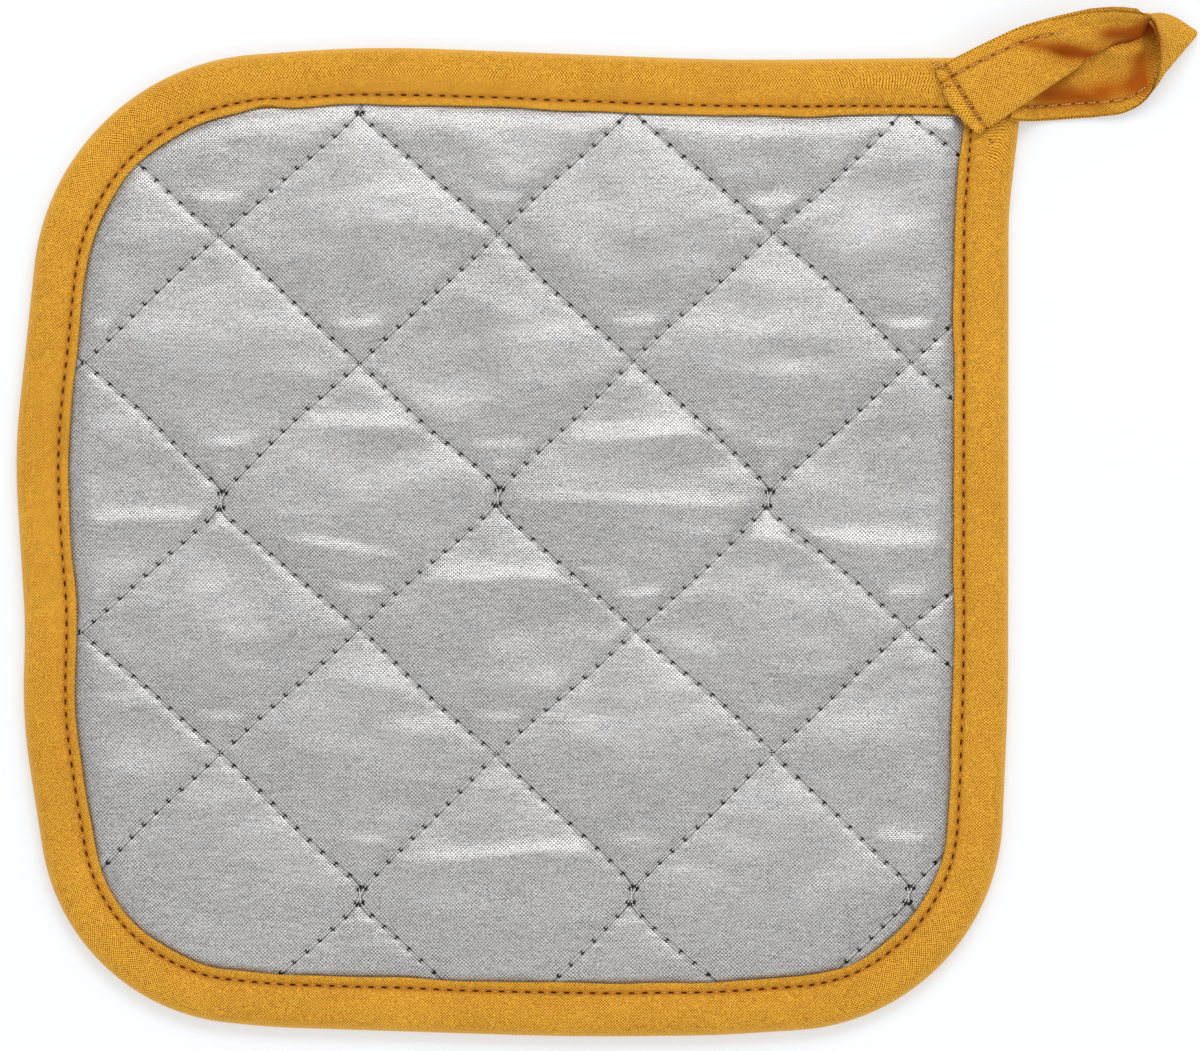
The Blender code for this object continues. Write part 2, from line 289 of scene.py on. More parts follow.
class Cloth:
    """A material and its node tree."""

    def __init__(self, name):
        self.material = bpy.data.materials.new(name)
        self.material.use_nodes = True
        self.tree = self.material.node_tree
        self.shader = self.tree.nodes["Principled BSDF"]

    def node(self, kind, settings, *inputs, out=0, **named):
        """A node of any kind: its settings first, then its inputs in order."""
        made = self.tree.nodes.new(kind)
        for key, value in settings.items():
            setattr(made, key, value)
        sockets = [s for s in made.inputs if s.enabled]
        sockets = sockets[:len(inputs)] + [made.inputs[key] for key in named]
        for socket, value in zip(sockets, (*inputs, *named.values())):
            self.feed(socket, value)
        outputs = [s for s in made.outputs if s.enabled]
        return Value(self, outputs[out])

    def feed(self, socket, value):
        """Link a value or set a number or colour."""
        if isinstance(value, Value):
            self.tree.links.new(value.socket, socket)
        else:
            socket.default_value = value

    def set(self, name, value):
        """One input of the Principled shader."""
        self.feed(self.shader.inputs[name], value)

    def place(self):
        """Where a point lies on the piece, in mm."""
        metres = self.node("ShaderNodeTexCoord", {}, out=3)
        return self.scaled(metres, (1000, 1000, 1000))

    def uv(self, name):
        """One of the piece's own UV maps, in two parts."""
        return self.split(self.node("ShaderNodeUVMap", {"uv_map": name}))[:2]

    def split(self, vector):
        """The three parts of a vector."""
        made = self.node("ShaderNodeSeparateXYZ", {}, vector).socket.node
        return [Value(self, socket) for socket in made.outputs]

    def scaled(self, vector, factors):
        """A vector multiplied part by part."""
        return self.node("ShaderNodeVectorMath", {"operation": "MULTIPLY"}, vector, factors)

    def noise(self, vector, scale, detail=2.0, roughness=0.5):
        """Soft noise round nought."""
        return self.node("ShaderNodeTexNoise", {}, Vector=vector, Scale=scale,
                         Detail=detail, Roughness=roughness) - 0.5

    def blend(self, share, first, second):
        """One colour into another."""
        return self.node("ShaderNodeMix", {"data_type": "RGBA"}, share, first, second)

    def bump(self, height, distance, strength):
        """A height, in metres times distance, as the shader's normal."""
        self.set("Normal", self.node("ShaderNodeBump", {}, Height=height, Distance=distance,
                                     Strength=strength))

    def weave(self, across, along, pitch):
        """A plain weave: which thread is on top, -1 or 1, and the threads' roundness."""
        one = (across * (pi / pitch)).sine()
        other = (along * (pi / pitch)).sine()
        return one * other, (abs(one) * abs(other)) ** 0.7

    def needle_holes(self, off_line, off_hole, size):
        """Painted shade of needle holes where both distances are nought, 1 inside them."""
        return 1 - (off_line * off_line + off_hole * off_hole).math("SQRT").rise(size * 0.5, size)

    def seam_marks(self, line, count, size):
        """Masks of the painted shade in the crease and in the needle holes of the seams at whole
        numbers.
        """
        pitch = SEAM_SPACING / STITCHES_A_SIDE
        off = line - line.math("ROUND")
        off_line = abs(off) * SEAM_SPACING
        off_hole = (count + off * (SEAM_SPACING / pitch)).off_whole() * pitch
        return 1 - off_line.rise(0.12, 0.45), self.needle_holes(off_line, off_hole * 0.85, size)

    def quilted(self, base, size, crease_shade, hole_shade):
        """A colour with both sets of seams in it: painted shade along their creases and in their
        needle holes.
        """
        falling, rising = self.uv("seams")
        count, _ = self.uv("stitches")
        crease, holes = self.seam_marks(falling, count - 0.5, size)
        other_crease, other_holes = self.seam_marks(rising, 0.5 - count, size)
        base = self.blend(crease.math("MAXIMUM", other_crease) * 0.6, base, crease_shade)
        return self.blend(holes.math("MAXIMUM", other_holes), base, hole_shade)


# --- outline


def unit(vectors):
    """The same directions, one long."""
    return vectors / norm(vectors, axis=-1, keepdims=True)


def placed(spots, run, line):
    """Places on a line at these distances along it."""
    return np.stack([np.interp(spots, run, part) for part in line.T], axis=1)


def bell(off, width):
    """1 at nought, falling softly to 0 past a width."""
    return np.exp(-(off / width) ** 2)


def rounded(corners):
    """Points round the corners, a like number for every inset."""
    spots = [Vector((c.x, c.y)) for c in corners]
    points = []
    for i, corner in enumerate(corners):
        here = spots[i]
        back = (spots[i - 1] - here).normalized()
        ahead = (spots[(i + 1) % len(spots)] - here).normalized()
        half_angle = acos(max(-1.0, min(1.0, back.dot(ahead)))) / 2
        bisector = (back + ahead).normalized()
        centre = here + bisector * (corner.radius / sin(half_angle))
        start = here + back * (corner.radius / tan(half_angle)) - centre
        turn = radians(180) - 2 * half_angle
        steps = max(1, ceil(turn / ARC_STEP))
        sense = 1 if back.cross(ahead) < 0 else -1
        for step in range(steps + 1):
            angle = sense * turn * step / steps
            points.append((centre.x + start.x * cos(angle) - start.y * sin(angle),
                           centre.y + start.x * sin(angle) + start.y * cos(angle)))
    return np.array(points)


def inset(corners):
    """The corners with each side moved in by the binding's width."""
    spots = np.array([(c.x, c.y) for c in corners])
    along = unit(np.roll(spots, -1, axis=0) - spots)
    normals = np.stack([-along[:, 1], along[:, 0]], axis=1)
    moved = []
    for i, corner in enumerate(corners):
        before, after = normals[i - 1], normals[i]
        by = (corners[i - 1].tape, corner.tape)
        shift = np.linalg.solve(np.array([before, after]), by)
        convex = before[0] * after[1] - before[1] * after[0] > 0
        radius = max(corner.radius - by[1] if convex else corner.radius + by[1], SHARPEST_INSIDE)
        moved.append(corner._replace(x=corner.x + shift[0], y=corner.y + shift[1], radius=radius))
    return moved


OUTER = rounded(OUTLINE)
INNER = rounded(inset(OUTLINE))
BINDING_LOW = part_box("edge_binding")[0]
PAD_MIDDLE = np.array([BINDING_LOW.x, BINDING_LOW.y]) / MM - OUTER.min(axis=0)


def inside_of(x, y, loop):
    """How far inside a closed line each place lies; negative outside."""
    spots = np.stack([x.ravel(), y.ravel()], axis=1)
    best = np.full(len(spots), 1e9)
    side = np.zeros(len(spots))
    for a, b in zip(loop, np.roll(loop, -1, axis=0)):
        run = b - a
        if run @ run < 1e-12:
            continue
        share = np.clip(((spots - a) @ run) / (run @ run), 0, 1)
        off = spots - a - share[:, None] * run
        gap = np.hypot(off[:, 0], off[:, 1])
        nearer = gap < best
        best[nearer] = gap[nearer]
        side[nearer] = np.sign(run[0] * off[:, 1] - run[1] * off[:, 0])[nearer]
    return (best * np.where(side >= 0, 1, -1)).reshape(x.shape)


def soft_step(share):
    """A soft step from 0 to 1."""
    share = np.clip(share, 0, 1)
    return share * share * (3 - 2 * share)


# --- quilting


def turning(row, across, up):
    """-1 below a turned row and 1 above it, fastest at its crossings."""
    between = np.abs((across + row.number + 1) % 2 - 1)
    return np.tanh((up - row.number) / (0.02 + 0.25 * between)), between


def quilted_place(across, up):
    """From counts of half diamonds to mm about the pad's middle."""
    x = CROSSING_X + HALF_DIAMOND * across
    y = np.interp(up, [r.number for r in ROWS], [r.y for r in ROWS])
    for row in ROWS:
        if row.turn:
            turned, between = turning(row, across, up)
            turned = turned * np.clip(1 - np.abs(up - row.number), 0, 1)
            x = x + TURN_SLANT * turned * (1 - between)
            y = y + row.turn * turned
    x = (x + 0.40 * np.sin(2.1 * across + 1.3 * up + 0.5)
         + 0.25 * np.sin(4.3 * across - 3.1 * up + 2.0))
    y = y + 0.35 * np.sin(1.7 * across - 2.3 * up + 1.1) + 0.20 * np.sin(3.9 * across + 2.9 * up)
    return x, y


def stitch_count(across, up):
    """Stitches counted upwards along any seam: a needle hole at each half."""
    count = STITCHES_A_SIDE * up
    for row in ROWS:
        if row.turn:
            count = count + 0.5 * (turning(row, across, up)[0] + np.sign(row.number))
    return count


def gap_to(number):
    """Distance to the nearest seam of one set, in mm."""
    return np.abs(number - np.round(number)) * SEAM_SPACING


def ridge_field(x, y, ridges):
    """The height of many soft ridges, added up."""
    total = np.zeros_like(x)
    for middle_x, middle_y, length, slope, width, height in ridges:
        turn = radians(slope)
        dx, dy = x - middle_x, y - middle_y
        along = dx * cos(turn) + dy * sin(turn)
        across = dy * cos(turn) - dx * sin(turn)
        reach = np.where(across > 0, width * 1.1, width * 2.2)
        ends = np.exp(-(np.abs(along) / (length / 2)) ** 4)
        total += height * ends * bell(across, reach)
    return total


def crossing_ridges(rng):
    """The two small ridges that stand above every crossing."""
    ridges = []
    for row in ROWS:
        for k in range(-LATTICE_REACH, LATTICE_REACH + 1):
            if (k + row.number) % 2:
                continue
            x, y = quilted_place(float(k), row.number + 0.27 + row.turn * 0.03)
            ridges.append((x + rng.uniform(-1.0, 1.0), y + rng.uniform(-0.8, 0.8),
                           rng.uniform(10, 13), rng.uniform(-5, 5), 1.3, rng.uniform(0.32, 0.50)))
            x, y = quilted_place(float(k), row.number + 0.11 + row.turn * 0.03)
            ridges.append((x - 0.5, y, 4.5, -8, 0.8, 0.32))
    return ridges


def faint_ridges(rng):
    """Slack in the silver cloth, as many faint level ridges."""
    return [(rng.uniform(-95, 95), rng.uniform(-95, 95), rng.uniform(14, 36), rng.uniform(-7, 7),
             rng.uniform(1.2, 2.6), rng.uniform(0.04, 0.16)) for _ in range(FAINT_RIDGES)]


# --- meshes


def shown(name, data):
    """A new object in the scene."""
    made = bpy.data.objects.new(name, data)
    SCENE.collection.objects.link(made)
    return made


def to_frame(points):
    """From mm about the pad's middle to metres in the frame."""
    spots = np.array(points, dtype=float)
    spots[:, :2] += PAD_MIDDLE
    spots[:, 2] = np.maximum(spots[:, 2], 0)
    return spots * MM


def cloth_mesh(name, points, faces, uvs, materials, face_material=None):
    """A smooth piece with one UV map for each name in uvs."""
    mesh = bpy.data.meshes.new(name)
    mesh.from_pydata(to_frame(points), [], faces)
    corner_points = np.empty(len(mesh.loops), dtype=np.int32)
    mesh.loops.foreach_get("vertex_index", corner_points)
    for uv_name, uv in uvs.items():
        layer = mesh.uv_layers.new(name=uv_name)
        layer.data.foreach_set("uv", np.asarray(uv, dtype=np.float32)[corner_points].ravel())
    for material in materials:
        mesh.materials.append(material)
    if face_material is not None:
        mesh.polygons.foreach_set("material_index", np.asarray(face_material, dtype=np.int32))
    mesh.polygons.foreach_set("use_smooth", np.ones(len(mesh.polygons), dtype=bool))
    mesh.update()
    return shown(name, mesh)


def tube_faces(rings, points_a_ring, closed_run):
    """Quads round a run of closed sections."""
    faces = []
    for ring in range(rings if closed_run else rings - 1):
        this, following = ring * points_a_ring, ((ring + 1) % rings) * points_a_ring
        for i in range(points_a_ring):
            j = (i + 1) % points_a_ring
            faces.append((this + i, this + j, following + j, following + i))
    return faces


# --- pad


class Lattice:
    """A grid along both sets of seams, and the pad's face and back on it."""

    def __init__(self, steps, to_tape=None):
        self.steps = steps
        count = 2 * LATTICE_REACH * steps + 1
        line = np.linspace(-LATTICE_REACH, LATTICE_REACH, count)
        self.falling, self.rising = np.meshgrid(line, line, indexing="ij")
        self.across = self.falling + self.rising
        self.up = self.rising - self.falling
        gaps = gap_to(self.falling), gap_to(self.rising)
        self.to_seam = np.minimum(*gaps)
        self.x, self.y = quilted_place(self.across, self.up)
        self.to_tape = inside_of(self.x, self.y, INNER) if to_tape is None else to_tape
        fall, rise = [1 - np.exp(-gap / CHANNEL_REACH) for gap in gaps]
        full = fall * rise  # up to 1 in the middle of a diamond
        inside = np.maximum(self.to_tape, 0)
        rise = 1 - np.exp(-inside / EDGE_REACH)
        pillow = CHANNEL_HEIGHT + (CROWN_HEIGHT - CHANNEL_HEIGHT) * full
        self.face = PINCH_HIGH + (pillow - PINCH_HIGH) * rise
        back = UNDER_SEAM * (1 - soft_step(full / 0.6))
        self.back = back + (PINCH_LOW - back) * np.exp(-inside / BACK_REACH)

    def at(self, grid, falling, rising):
        """A grid's value at any place between the seams."""
        i = np.clip((falling + LATTICE_REACH) * self.steps, 0, grid.shape[0] - 1.001)
        j = np.clip((rising + LATTICE_REACH) * self.steps, 0, grid.shape[1] - 1.001)
        m, n = np.floor(i).astype(int), np.floor(j).astype(int)
        a, b = i - m, j - n
        return ((1 - a) * (1 - b) * grid[m, n] + a * (1 - b) * grid[m + 1, n]
                + (1 - a) * b * grid[m, n + 1] + a * b * grid[m + 1, n + 1])


def finer(grid):
    """A grid with smooth values put between its own, both ways."""
    for _ in range(2):
        ends = np.concatenate([2 * grid[:1] - grid[1:2], grid, 2 * grid[-1:] - grid[-2:-1]])
        middles = (9 * (ends[1:-2] + ends[2:-1]) - ends[:-3] - ends[3:]) / 16
        dense = np.empty((2 * len(grid) - 1,) + grid.shape[1:])
        dense[0::2] = grid
        dense[1::2] = middles
        grid = dense.T
    return grid


def evened(grid):
    """A grid of shifts with its sharpest wrinkles drawn out level."""
    grid[1:-1] = (grid[:-2] + 2 * grid[1:-1] + grid[2:]) / 4
    grid[:, 1:-1] = (grid[:, :-2] + 2 * grid[:, 1:-1] + grid[:, 2:]) / 4
    for _ in range(LEVEL_PASSES):
        grid[1:-1, 1:-1] = (grid[:-2, :-2] + 2 * grid[1:-1, 1:-1] + grid[2:, 2:]) / 4
    return grid


def grid_quads(kept, number):
    """The corners of each kept square of a grid, seen from above."""
    i, j = np.nonzero(kept)
    return np.stack([number[i, j], number[i + 1, j], number[i + 1, j + 1], number[i, j + 1]],
                    axis=1)


def touching(kept):
    """The grid's points that any kept square touches."""
    kept = np.pad(kept, 1)
    return kept[:-1, :-1] | kept[1:, :-1] | kept[:-1, 1:] | kept[1:, 1:]


def numbered(used, first):
    """A running number for every used point of a grid."""
    number = np.full(used.shape, -1)
    number[used] = first + np.arange(used.sum())
    return number


def picked(used, *grids):
    """Some grids' values at the used points."""
    return np.stack([grid[used] for grid in grids], axis=1)


def settled(lattice, used, faces):
    """How far each place of the face cloth moves, simulated with slack in it."""
    points = picked(used, lattice.x, lattice.y, lattice.face) * SIMULATED_SIZE
    mesh = bpy.data.meshes.new("face_sheet")
    mesh.from_pydata(points, [], faces)
    sheet = shown("face_sheet", mesh)
    held = np.where((lattice.to_seam < 0.1) | (lattice.to_tape < 0.3), 1.0, CLOTH_HOLD)[used]
    pins = sheet.vertex_groups.new(name="sewn")
    for weight in np.unique(held):
        pins.add(np.flatnonzero(held == weight).tolist(), float(weight), "REPLACE")
    sheet.shape_key_add(name="flat")
    slack = sheet.shape_key_add(name="slack")
    slack.data.foreach_set("co", (points * (1 + np.array(SLACK))).ravel())
    cloth = sheet.modifiers.new("cloth", "CLOTH")
    cloth.settings.rest_shape_key = slack
    for setting, value in CLOTH_SETTINGS.items():
        setattr(cloth.settings, setting, value)
    cloth.settings.effector_weights.gravity = 0
    cloth.point_cache.frame_start = 1
    cloth.point_cache.frame_end = CLOTH_FRAMES
    for step in range(1, CLOTH_FRAMES + 1):
        SCENE.frame_set(step)
    moved = np.empty(points.size)
    evaluated = sheet.evaluated_get(bpy.context.evaluated_depsgraph_get())
    evaluated.data.vertices.foreach_get("co", moved)
    bpy.data.objects.remove(sheet, do_unlink=True)
    SCENE.frame_set(1)
    shift = np.zeros((*used.shape, 3))
    shift[used] = (moved.reshape(-1, 3) - points) / SIMULATED_SIZE
    return [evened(np.clip(shift[:, :, k], *MOST_SHIFT)) for k in range(3)]


def make_pad(face_cloth, back_cloth):
    """The filled pad: a fine face, a plainer back, joined round the edge."""
    coarse = Lattice(CLOTH_STEPS)
    within = inside_of(coarse.x, coarse.y, OUTER) > PAD_EDGE
    kept = within[:-1, :-1] & within[1:, :-1] & within[:-1, 1:] & within[1:, 1:]
    used = touching(kept)
    low_number = numbered(used, 0)
    bottom = grid_quads(kept, low_number)
    shifts = [np.zeros_like(coarse.x)] * 3
    shifts = settled(coarse, used, bottom.tolist())

    fine = Lattice(2 * CLOTH_STEPS, finer(coarse.to_tape))
    x, y, z = [own + finer(shift) for own, shift in zip((fine.x, fine.y, fine.face), shifts)]
    rng = np.random.default_rng(11)
    ridges = ridge_field(fine.x, fine.y, list(RIDGES) + crossing_ridges(rng) + faint_ridges(rng))
    free = soft_step(fine.to_seam / 2.0) * soft_step(fine.to_tape / 4.0)
    counted = stitch_count(fine.across, fine.up)
    pull = (0.5 - 0.5 * np.cos(2 * pi * counted)) ** 2 * bell(fine.to_seam, DIMPLE_REACH)
    fine.surface = z = z + ridges * free - DIMPLE_DEPTH * pull * (fine.to_tape > 0)

    kept_fine = np.repeat(np.repeat(kept, 2, axis=0), 2, axis=1)
    used_fine = touching(kept_fine)
    top_number = numbered(used_fine, int(used.sum()))
    top = grid_quads(kept_fine, top_number)
    points = np.vstack([picked(used, coarse.x, coarse.y, coarse.back),
                        picked(used_fine, x, y, z)])
    rim = []
    for i, j in zip(*np.nonzero(kept)):
        edges = (((i, j), (i + 1, j), (i, j - 1)), ((i + 1, j), (i + 1, j + 1), (i + 1, j)),
                 ((i + 1, j + 1), (i, j + 1), (i, j + 1)), ((i, j + 1), (i, j), (i - 1, j)))
        for (p, q), (r, s), (m, n) in edges:
            if not kept[m, n]:
                rim.append((low_number[p, q], low_number[r, s], top_number[2 * r, 2 * s],
                            top_number[p + r, q + s], top_number[2 * p, 2 * q]))
    faces = bottom[:, ::-1].tolist() + top.tolist() + rim
    sides = ((coarse, used), (fine, used_fine))
    seams = np.vstack([picked(m, g.falling, g.rising) for g, m in sides])
    stitches = np.vstack([picked(m, stitch_count(g.across, g.up), g.to_tape) for g, m in sides])
    which = [1] * len(bottom) + [0] * len(top) + [1] * len(rim)
    piece = cloth_mesh("quilted_pad_cloth", points, faces, {"seams": seams, "stitches": stitches},
                       (face_cloth, back_cloth), which)
    return piece, fine


# --- binding


def wobble(run, length, waves, size, seed):
    """A slow unevenness along a closed run."""
    rng = np.random.default_rng(seed)
    total = np.zeros_like(run)
    for wave in waves:
        total += rng.uniform(0.5, 1.0) * np.sin(2 * pi * (wave * run / length + rng.uniform(0, 1)))
    return size * total / len(waves) ** 0.5


def binding_ribs(count):
    """Even pairs of places on the binding's outer and inner edge."""
    middle = (OUTER + INNER) / 2
    hops = norm(np.roll(middle, -1, axis=0) - middle, axis=1)
    run = np.concatenate([[0], np.cumsum(hops)])
    even = np.linspace(0, run[-1], count, endpoint=False)
    closed = [np.vstack([edge, edge[:1]]) for edge in (OUTER, INNER)]
    outer, inner = [placed(even, run, edge) for edge in closed]
    return outer, inner, even, run[-1]


BINDING_LENGTH = binding_ribs(8)[3]
BINDING_STITCHES = round(BINDING_LENGTH / TAPE_STITCH)


def section_travel(point):
    """How far round the binding's section one of its points lies."""
    spots = [Vector((PLAIN_TAPE - away if outer else away, height))
             for outer, away, height in TAPE_POINTS]
    return sum((b - a).length for a, b in zip(spots[:point], spots[1:point + 1]))


def make_binding(tape_cloth):
    """The folded tape, swept round the pad with its puckers."""
    outer, inner, run, length = binding_ribs(BINDING_STITCHES * RIBS_A_STITCH)
    width = norm(outer - inner, axis=1)
    out = (outer - inner) / width[:, None]
    beat = np.cos(2 * pi * run * BINDING_STITCHES / length)
    slack = wobble(run, length, (9, 14, 23, 31), size=0.14, seed=3)
    drift = wobble(run, length, (17, 26, 41), size=0.22, seed=5)
    drift += NIP_DEPTH * bell(norm(inner - NIP, axis=1), NIP_LENGTH)
    from_outer, away, height = np.array(TAPE_POINTS).T
    away = np.where(from_outer, -away, away)
    count = len(TAPE_POINTS)
    travel = [section_travel(k) for k in range(count)]
    top = np.arange(count) < FACE_POINTS
    rings, unrolled = [], []
    for k in range(len(run)):
        q = away + width[k] * from_outer
        crown = top * bell(q - CROWN, CROWN_REACH)
        seam = top * bell(q - GROOVE, PULL_REACH)
        slope = top * bell(q - SLOPE, PULL_REACH)
        z = height + crown * slack[k] - SEAM_PULL * beat[k] * seam - SLOPE_PULL * beat[k] * slope
        q = q + top * drift[k] * bell(q, DRIFT_REACH)
        spot = inner[k] + out[k] * q[:, None]
        rings.append(np.column_stack([spot, z]))
        unrolled.append(np.column_stack([np.full(len(q), run[k]), travel]))
    return cloth_mesh("edge_binding_tape", np.vstack(rings), tube_faces(len(run), count, True),
                      {"tape": np.vstack(unrolled)}, (tape_cloth,))


# --- loop


def through_rows(rows):
    """A smooth run through all the rows (Catmull-Rom)."""
    padded = np.vstack([2 * rows[0] - rows[1], rows, 2 * rows[-1] - rows[-2]])
    run = []
    for i in range(1, len(padded) - 2):
        a, b, c, d = padded[i - 1:i + 3]
        for t in np.arange(STEPS) / STEPS:
            run.append(0.5 * (2 * b + (c - a) * t + (2 * a - 5 * b + 4 * c - d) * t ** 2
                              + (3 * b - a - 3 * c + d) * t ** 3))
    run.append(rows[-1])
    return np.array(run)


def crease_heights(creases, x, y, upper):
    """How far the creases lift or sink each place of the loop."""
    total = np.zeros_like(x)
    for leg, on_leg in zip(creases, (upper, ~upper)):
        for x1, y1, x2, y2, width, height in leg:
            run_x, run_y = x2 - x1, y2 - y1
            share = ((x - x1) * run_x + (y - y1) * run_y) / (run_x ** 2 + run_y ** 2)
            near = np.clip(share, 0, 1)
            gap = np.hypot(x - x1 - near * run_x, y - y1 - near * run_y)
            strength = soft_step(near * 3) * soft_step((1 - near) * 3)
            total += height * strength * bell(gap, width) * on_leg
    return total


LoopTape = namedtuple("LoopTape", "places normals travel across width half")


def loop_surface():
    """The tape's middle surface."""
    run = through_rows(np.array(LOOP))
    stitched, folded, belly = run[:, 0:3], run[:, 3:6], run[:, 6]
    middle = (stitched + folded) / 2
    travel = np.concatenate([[0], np.cumsum(norm(np.diff(middle, axis=0), axis=1))])
    width = norm(folded - stitched, axis=1)
    shares = np.sort([np.concatenate([np.array(EDGE_COLUMNS) / w, np.linspace(0.5, 1, 8)[:-1],
                                      1 - np.array(FOLD_COLUMNS) / w]) for w in width])
    along = np.gradient(middle, axis=0)
    face = unit(np.cross(folded - stitched, along))
    flat = stitched[:, None] + (folded - stitched)[:, None] * shares[:, :, None]
    lift = belly[:, None] * np.sin(pi * shares)
    runs = np.repeat(travel[:, None], shares.shape[1], axis=1)
    bow = CUT_BOW * np.sin(pi * shares) * np.clip(1 - runs / END_SEAM, 0, 1)
    flat = flat - unit(along)[:, None] * bow[:, :, None]
    lift += crease_heights(CREASES, flat[:, :, 0], flat[:, :, 1], runs < travel[TIP * STEPS])
    lift -= 0.5 * bell(runs - END_SEAM, 0.7)
    places = flat + face[:, None] * lift[:, :, None]
    normals = np.repeat(face[:, None], shares.shape[1], axis=1)
    across = shares * width[:, None]
    return LoopTape(places, normals, travel, across, width, half_thickness(across, width))


def half_thickness(across, width):
    """Half the thickness of the folded tape: thin at its fold and its seam."""
    from_fold = width[:, None] - across
    fold = np.sqrt(np.clip(1 - (1 - np.minimum(from_fold / 1.1, 1)) ** 2, 0, 1))
    edge = 0.62 + 0.22 * soft_step(across / 0.5)
    seam = 0.30 * bell(across - LOOP_SEAM, 0.5)
    return np.minimum(fold * 0.76, edge) - seam


def make_loop(tape, tape_cloth):
    """The loop's folded tape: two layers, open along the stitched edge."""
    places, normals, travel, across, width, half = tape
    outwards = unit(places[:, :1] - places[:, -1:])
    longer = outwards * (LAYER_STEP * np.exp(-across))[:, :, None]
    half, slit = half[:, :, None], np.minimum(half * 0.2, 0.11)[:, :, None]
    upper, upper_inside = places + normals * half, places + normals * slit
    lower, lower_inside = places - normals * half + longer, places - normals * slit + longer
    keep = slice(-JOINED_COLUMNS)
    rings = np.concatenate([upper[:, :-1], places[:, -1:], lower[:, -2::-1],
                            lower_inside[:, keep], upper_inside[:, keep][:, ::-1]], axis=1)
    runs = np.repeat(travel[:, None], rings.shape[1], axis=1)
    ways = np.concatenate([across, 2 * width[:, None] - across[:, -2::-1],
                           across[:, keep] + INSIDE_MAPS[0],
                           across[:, keep][:, ::-1] + INSIDE_MAPS[1]], axis=1)
    count = rings.shape[1]
    faces = tube_faces(len(travel), count, False)
    last = (len(travel) - 1) * count
    faces.append(tuple(range(count - 1, -1, -1)))
    faces.append(tuple(range(last, last + count)))
    unrolled = np.stack([runs, ways], axis=2).reshape(-1, 2)
    # Painted shade: how much each point of the loop is darkened for the shade in its hollows.
    hollow_shade = crease_heights(PAINTED_HOLLOW_SHADE, rings[:, :, 0], rings[:, :, 1], runs < travel[TIP * STEPS])
    hollow_shade = np.stack([np.clip(hollow_shade, 0, 1), hollow_shade * 0], axis=2).reshape(-1, 2)
    return cloth_mesh("hanging_loop_tape", rings.reshape(-1, 3), faces,
                      {"tape": unrolled, "painted_shade": hollow_shade}, (tape_cloth,))


# --- stitches


def thread_model():
    """One straight stitch to be bent and copied: its points and faces."""
    bpy.ops.object.select_all(action="DESELECT")
    bpy.ops.mesh.primitive_cylinder_add(vertices=6, radius=0.5, depth=1.0, end_fill_type="TRIFAN")
    model = bpy.context.object
    bpy.ops.object.mode_set(mode="EDIT")
    for cut in (-0.42, -0.28, 0.0, 0.28, 0.42):
        bpy.ops.mesh.select_all(action="SELECT")
        bpy.ops.mesh.bisect(plane_co=(0, 0, cut), plane_no=(0, 0, 1))
    bpy.ops.object.mode_set(mode="OBJECT")
    shape = np.array([v.co for v in model.data.vertices])
    faces = [tuple(p.vertices) for p in model.data.polygons]
    bpy.data.objects.remove(model, do_unlink=True)
    return shape, faces


def stitch_pieces(name, ends, ups, thread, material):
    """One joined mesh of thread stitches, each an arch between two holes."""
    thickness, lift, gap = thread
    shape, model_faces = thread_model()
    share = shape[:, 2]
    arch = 1 - (2 * share) ** 4
    slim = 1 - 0.4 * (2 * np.abs(share)) ** 6
    round_thread = np.arctan2(shape[:, 1], shape[:, 0])
    points, faces, unrolled = [], [], []
    for (start, end), up in zip(ends, ups):
        along, length = unit(end - start), norm(end - start) - gap
        side = unit(np.cross(up, along))
        top = np.cross(along, side)
        spot = (start + end) / 2 + along * (share * length)[:, None]
        spot = spot + side * (shape[:, 0] * thickness * slim)[:, None]
        spot = spot + top * (shape[:, 1] * thickness * slim + arch * lift)[:, None]
        base = len(points) * len(shape)
        points.append(spot)
        unrolled.append(np.stack([share * length, round_thread], axis=1))
        faces += [tuple(base + v for v in f) for f in model_faces]
    return cloth_mesh(name, np.vstack(points), faces, {"thread": np.vstack(unrolled)}, (material,))


def quilting_thread(fine, material):
    """Every stitch of the quilting, on the face and on the back."""
    ends, ups = [], []
    up_line = np.linspace(ROWS[0].number, ROWS[-1].number, 6000)
    for number in range(-LATTICE_REACH, LATTICE_REACH + 1):
        for sense in (1, -1):
            across_line = 2 * number + sense * up_line
            counted = stitch_count(across_line, up_line)
            holes = np.arange(np.ceil(counted[0]) + 0.5, counted[-1])
            up = np.interp(holes, counted, up_line)
            across = 2 * number + sense * up
            falling, rising = (across - up) / 2, (across + up) / 2
            x, y = quilted_place(across, up)
            clear = fine.at(fine.to_tape, falling, rising)
            seen = (np.maximum(np.abs(falling), np.abs(rising)) < LATTICE_REACH) & (clear > 0.2)
            for surface, way in ((fine.surface, 1.0), (fine.back, -1.0)):
                z = fine.at(surface, falling, rising)
                spots = np.stack([x - 0.12, y, z - 0.1 * way], axis=1)
                for k in range(len(up) - 1):
                    if seen[k] and seen[k + 1]:
                        ends.append((spots[k], spots[k + 1]))
                        ups.append(np.array([0, 0, way]))
    return stitch_pieces("quilting_stitches", ends, ups, QUILTING_THREAD, material)


def binding_thread(material):
    """The stitches that hold the binding down, on both sides."""
    outer, inner, _, _ = binding_ribs(BINDING_STITCHES)
    groove = inner + unit(outer - inner) * GROOVE
    ends, ups = [], []
    for height, way in ((4.06, 1.0), (0.65, -1.0)):
        line = np.column_stack([groove, np.full(len(groove), height)])
        ends += list(zip(line, np.roll(line, -1, axis=0)))
        ups += [np.array([0, 0, way])] * len(line)
    return stitch_pieces("binding_stitches", ends, ups, BINDING_THREAD, material)


